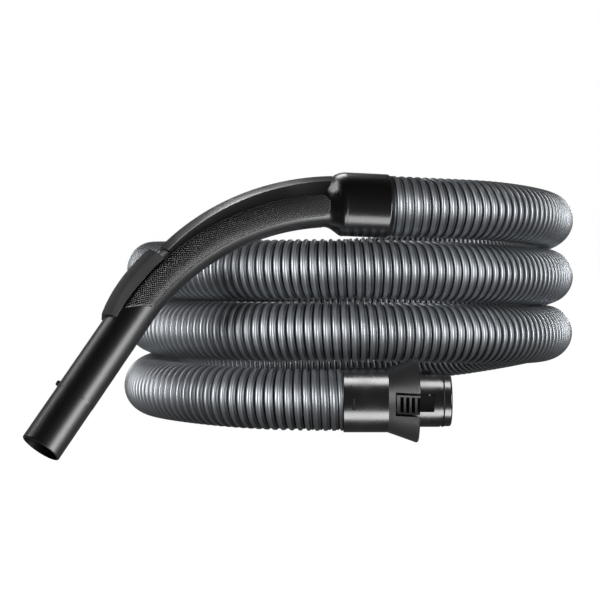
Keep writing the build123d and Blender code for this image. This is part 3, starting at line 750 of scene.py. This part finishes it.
def frosted_acrylic():
    """Frosted white acrylic lit through from below: white, with the faintest of shadows."""
    material = bpy.data.materials.new("frosted_white_acrylic")
    material.use_nodes = True
    tree = material.node_tree
    tree.nodes.clear()
    face = add(tree, "BsdfDiffuse", {"Color": linear("#e6e6e6")})
    glow = add(tree, "Emission", {"Color": (1, 1, 1, 1), "Strength": 1.10})
    both = add(tree, "MixShader", {"Fac": 0.90, 1: face.outputs[0], 2: glow.outputs[0]})
    add(tree, "OutputMaterial", {"Surface": both.outputs[0]})
    return material


standing_floor().data.materials.append(frosted_acrylic())

# How bright the wall is at the object's height and further up or down, and the rest of the room
WALL_MIDDLE, WALL_FAR, ROOM = 0.25, 0.05, 0.04

world = bpy.data.worlds.new("studio")
bpy.context.scene.world = world
world.use_nodes = True
tree = world.node_tree
tree.nodes.clear()
rays = add(tree, "LightPath")
split = add(tree, "SeparateXYZ", {"Vector": add(tree, "TexCoord").outputs["Generated"]})
wall = add(tree, "MapRange", {"Value": split.outputs["Y"], "From Min": -0.1, "From Max": 0.5},
           interpolation_type="SMOOTHSTEP")
steep = add(tree, "Math", {0: split.outputs["Z"]}, operation="ABSOLUTE")
band = add(tree, "MapRange", {"Value": steep.outputs[0], "From Min": 0.2, "From Max": 0.6,
                              "To Min": WALL_MIDDLE, "To Max": WALL_FAR})
room = add(tree, "Math", {0: wall.outputs["Result"], 1: band.outputs["Result"], 2: ROOM},
           operation="MULTIPLY_ADD")
level = add(tree, "MixRGB", {"Fac": rays.outputs["Is Camera Ray"], "Color1": room.outputs[0],
                             "Color2": (1, 1, 1, 1)})
background = add(tree, "Background", {"Color": (1, 1, 1, 1), "Strength": level.outputs["Color"]})
add(tree, "OutputWorld", {"Surface": background.outputs[0]})

PADS = {"diamond_pad_front", "diamond_pad_back"}
GRIP_PARTS = PADS | {"grip_tube", "cover_hood", "suction_shutter"}
SLEEVE_PARTS = {"connector_cuff", "machine_spigot"}
shapes = [obj for obj in bpy.context.scene.objects if obj.type == "MESH"]
OTHER_PARTS = {obj.name for obj in shapes} - GRIP_PARTS | {"suction_shutter"}
BACK_PARTS = OTHER_PARTS | PADS | {"cover_hood"}

COIL_FRONT = Vector((0.09, 0.05, 0.10))
GRIP_MIDDLE = Vector((-0.03, -0.05, 0.12))
SLEEVE_MIDDLE = Vector((0.12, 0.02, 0.05))
FLARE_MIDDLE = Vector((0.064, -0.03, 0.178))
# Each softbox: its place, what it faces, its width and height, its watts, and what it lights
SOFT_BOXES = {
    "left_box": ((-1.00, -0.88, 0.40), COIL_FRONT, (0.28, 0.90), 23, OTHER_PARTS),
    "right_box": ((1.22, -0.86, 0.27), COIL_FRONT, (0.34, 0.80), 23, OTHER_PARTS),
    "upper_box": ((-0.84, 0.33, 0.96), GRIP_MIDDLE, (0.50, 0.50), 4, {"grip_tube"}),
    "lower_box": ((1.12, -0.60, -0.20), GRIP_MIDDLE, (0.64, 1.05), 31, GRIP_PARTS),
    "pad_box": ((0.46, -0.46, -0.78), GRIP_MIDDLE, (1.00, 0.34), 38, PADS),
    "top_strip": ((-0.28, 0.02, 1.10), GRIP_MIDDLE, (1.10, 0.34), 30, {"cover_hood"}),
    "under_strip": ((0.20, -0.50, -0.60), SLEEVE_MIDDLE, (0.90, 0.44), 18, SLEEVE_PARTS),
    "weak_strip": ((0.20, -0.50, -0.60), SLEEVE_MIDDLE, (0.90, 0.44), 10,
                   {"grip_tube", "release_collar"}),
    "sleeve_strip": ((0.19, -0.20, 1.10), SLEEVE_MIDDLE, (0.30, 0.52), 10, SLEEVE_PARTS),
    "back_left_box": ((-1.10, 1.50, 0.55), COIL_FRONT, (0.50, 0.80), 7, BACK_PARTS),
    "back_right_box": ((1.30, 1.50, 0.55), COIL_FRONT, (0.50, 0.80), 13, BACK_PARTS),
    "back_top_box": ((-0.20, 0.90, 1.20), GRIP_MIDDLE, (0.70, 0.50), 8, {"grip_tube"}),
}


def stand(name, data, place, aim):
    """Puts a lamp or the camera at a place, facing a point."""
    holder = bpy.data.objects.new(name, data)
    bpy.context.scene.collection.objects.link(holder)
    holder.location = place
    holder.rotation_mode = "QUATERNION"
    holder.rotation_quaternion = (Vector(aim) - Vector(place)).to_track_quat("-Z", "Y")
    return holder


def group_of(name, names):
    """A collection of some of the pieces, for a lamp to light or be screened by."""
    group = bpy.data.collections.new(name)
    for obj in shapes:
        if obj.name in names:
            group.objects.link(obj)
    return group


for name, (place, aim, size, watts, lit) in SOFT_BOXES.items():
    lamp = bpy.data.lights.new(name, "AREA")
    lamp.shape = "RECTANGLE"
    lamp.size, lamp.size_y = size
    lamp.energy = watts
    box = stand(name, lamp, place, aim)
    box.light_linking.receiver_collection = group_of(name + "_lights", lit)
    if name == "left_box":
        # The grip stands in its way but casts no shadow, because its light comes round both sides
        box.light_linking.blocker_collection = group_of("left_box_screens", OTHER_PARTS)

# A narrow beam for the soft spot of light on the tube's flare
beam = bpy.data.lights.new("flare_spot", "SPOT")
beam.energy, beam.shadow_soft_size = 95, 0.32
beam.spot_size, beam.spot_blend = math.radians(8), 0.4
flare_spot = stand("flare_spot", beam, (-1.00, -0.06, 0.95), FLARE_MIDDLE)
flare_spot.light_linking.receiver_collection = group_of("flare_spot_lights", {"grip_tube"})

# ---------------------------------------------------------------- camera
# Almost level with the coil and 1.2 m from the front of the grip. The long lens keeps the coil's
# turns nearly the same size from front to back.

CAMERA_TARGET = Vector((0.0400, 0.0507, 0.1045))
CAMERA_DISTANCE = 1.2
CAMERA_ELEVATION = math.radians(4)
FOCAL_LENGTH_MM = 95.1
SENSOR_WIDTH_MM = 36

camera = bpy.data.cameras.new("camera")
camera.sensor_width = SENSOR_WIDTH_MM
camera.lens = FOCAL_LENGTH_MM
back = Vector((0, -math.cos(CAMERA_ELEVATION), math.sin(CAMERA_ELEVATION)))
viewer = stand("camera", camera, CAMERA_TARGET + back * CAMERA_DISTANCE, CAMERA_TARGET)
bpy.context.scene.camera = viewer
bpy.context.scene.view_settings.view_transform = "Standard"
